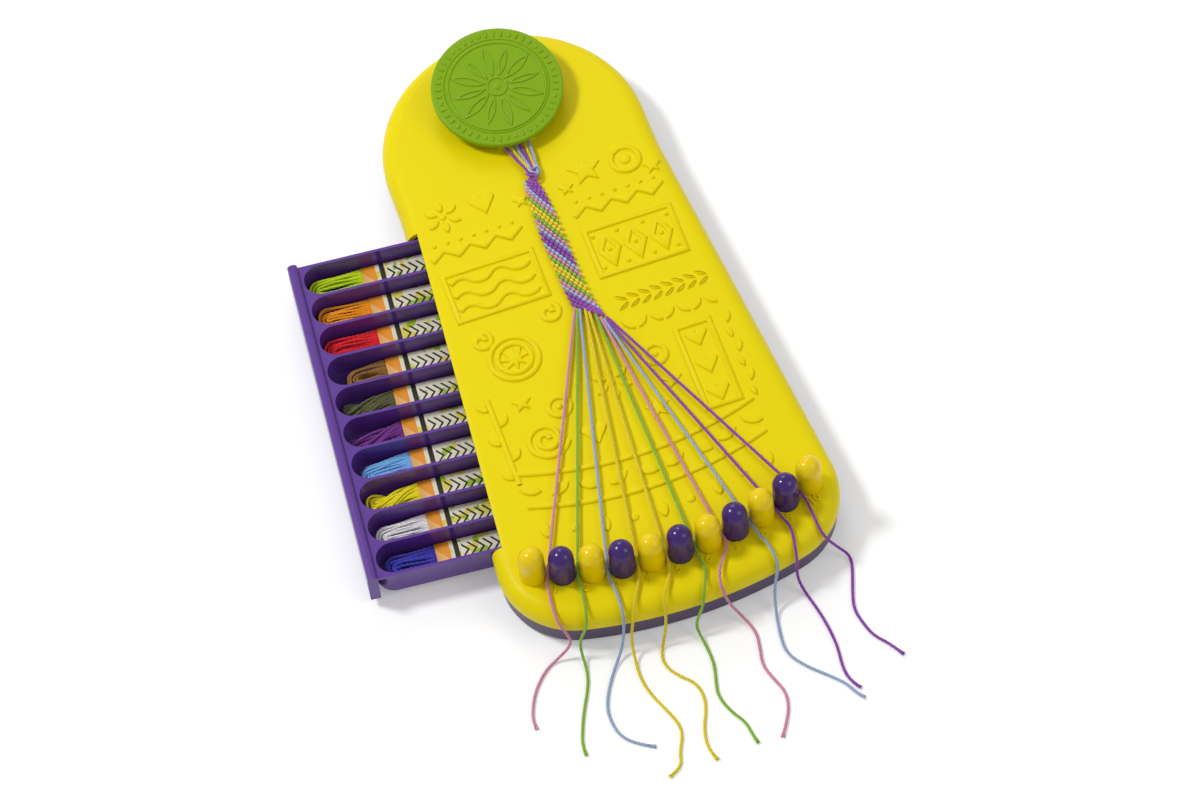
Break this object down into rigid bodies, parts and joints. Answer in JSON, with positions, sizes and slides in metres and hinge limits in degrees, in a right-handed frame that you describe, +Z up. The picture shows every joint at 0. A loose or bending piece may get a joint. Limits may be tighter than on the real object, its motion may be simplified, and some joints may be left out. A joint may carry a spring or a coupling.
{
  "type": "bracelet knotting board",
  "caption": "Tapered table board with a row of soft pegs that hold threads, a sprung disc clip at its round head and a side drawer of thread skeins.",
  "frame": {"origin": "on the table, under the middle foot of the board", "axes": "+Y from the pegs to the round head, +Z up, -X towards the drawer"},
  "size_m": [0.2057, 0.371, 0.0424],
  "materials": {
    "cover_yellow": "satin moulded plastic",
    "base_purple": "satin moulded plastic",
    "drawer_purple": "glossy moulded plastic",
    "peg_yellow": "soft glossy vinyl",
    "peg_purple": "soft glossy vinyl",
    "disc_green": "satin moulded plastic",
    "rubber_black": "matt rubber",
    "screw_steel": "plain steel",
    "paper_band": "printed paper",
    "woven_threads": "knotted embroidery floss",
    "floss_lime": "stranded cotton floss",
    "floss_orange": "stranded cotton floss",
    "floss_red": "stranded cotton floss",
    "floss_brown": "stranded cotton floss",
    "floss_olive": "stranded cotton floss",
    "floss_plum": "stranded cotton floss",
    "floss_sky": "stranded cotton floss",
    "floss_yellow": "stranded cotton floss",
    "floss_white": "stranded cotton floss",
    "floss_blue": "stranded cotton floss",
    "thread_pink": "six-strand cotton floss",
    "thread_green": "six-strand cotton floss",
    "thread_blue": "six-strand cotton floss",
    "thread_yellow": "six-strand cotton floss",
    "thread_purple": "six-strand cotton floss"
  },
  "bodies": {
    "root": {"cover": "cover_yellow", "base": "base_purple", "feet": "rubber_black", "case_screws": "screw_steel", "peg_01": "peg_yellow", "peg_02": "peg_purple", "peg_03": "peg_yellow", "peg_04": "peg_purple", "peg_05": "peg_yellow", "peg_06": "peg_purple", "peg_07": "peg_yellow", "peg_08": "peg_purple", "peg_09": "peg_yellow", "peg_10": "peg_purple", "peg_11": "peg_yellow", "clip_bracket": "cover_yellow", "clip_pin": "screw_steel", "clip_spring": "screw_steel", "grip_pad": "peg_yellow", "bracket_screws": "screw_steel", "bracelet": "woven_threads", "bracelet_knot": "woven_threads", "bracelet_tails": "woven_threads", "thread_01": "thread_pink", "thread_02": "thread_green", "thread_03": "thread_blue", "thread_04": "thread_yellow", "thread_05": "thread_yellow", "thread_06": "thread_green", "thread_07": "thread_pink", "thread_08": "thread_blue", "thread_09": "thread_purple", "thread_10": "thread_purple"},
    "drawer": {"drawer_tray": "drawer_purple", "drawer_front": "drawer_purple", "skein_01_lime": "floss_lime", "skein_02_orange": "floss_orange", "skein_03_red": "floss_red", "skein_04_brown": "floss_brown", "skein_05_olive": "floss_olive", "skein_06_plum": "floss_plum", "skein_07_sky": "floss_sky", "skein_08_yellow": "floss_yellow", "skein_09_white": "floss_white", "skein_10_blue": "floss_blue", "skein_bands": "paper_band"},
    "clip": {"clip_disc": "disc_green"}
  },
  "joints": [
    {"name": "drawer_slide", "type": "slide", "parent": "root", "child": "drawer", "axis": [-0.996, 0.0894, 0], "range_m": [-0.0543, 0.0282]},
    {"name": "clip_press", "type": "hinge", "parent": "root", "child": "clip", "pos_m": [0, 0.11, 0.027], "axis": [-1, 0, 0], "range_deg": [0, 15], "stiffness_Nm_per_rad": 0.12, "springref_deg": -20.05, "deforming": ["clip_spring"]}
  ]
}
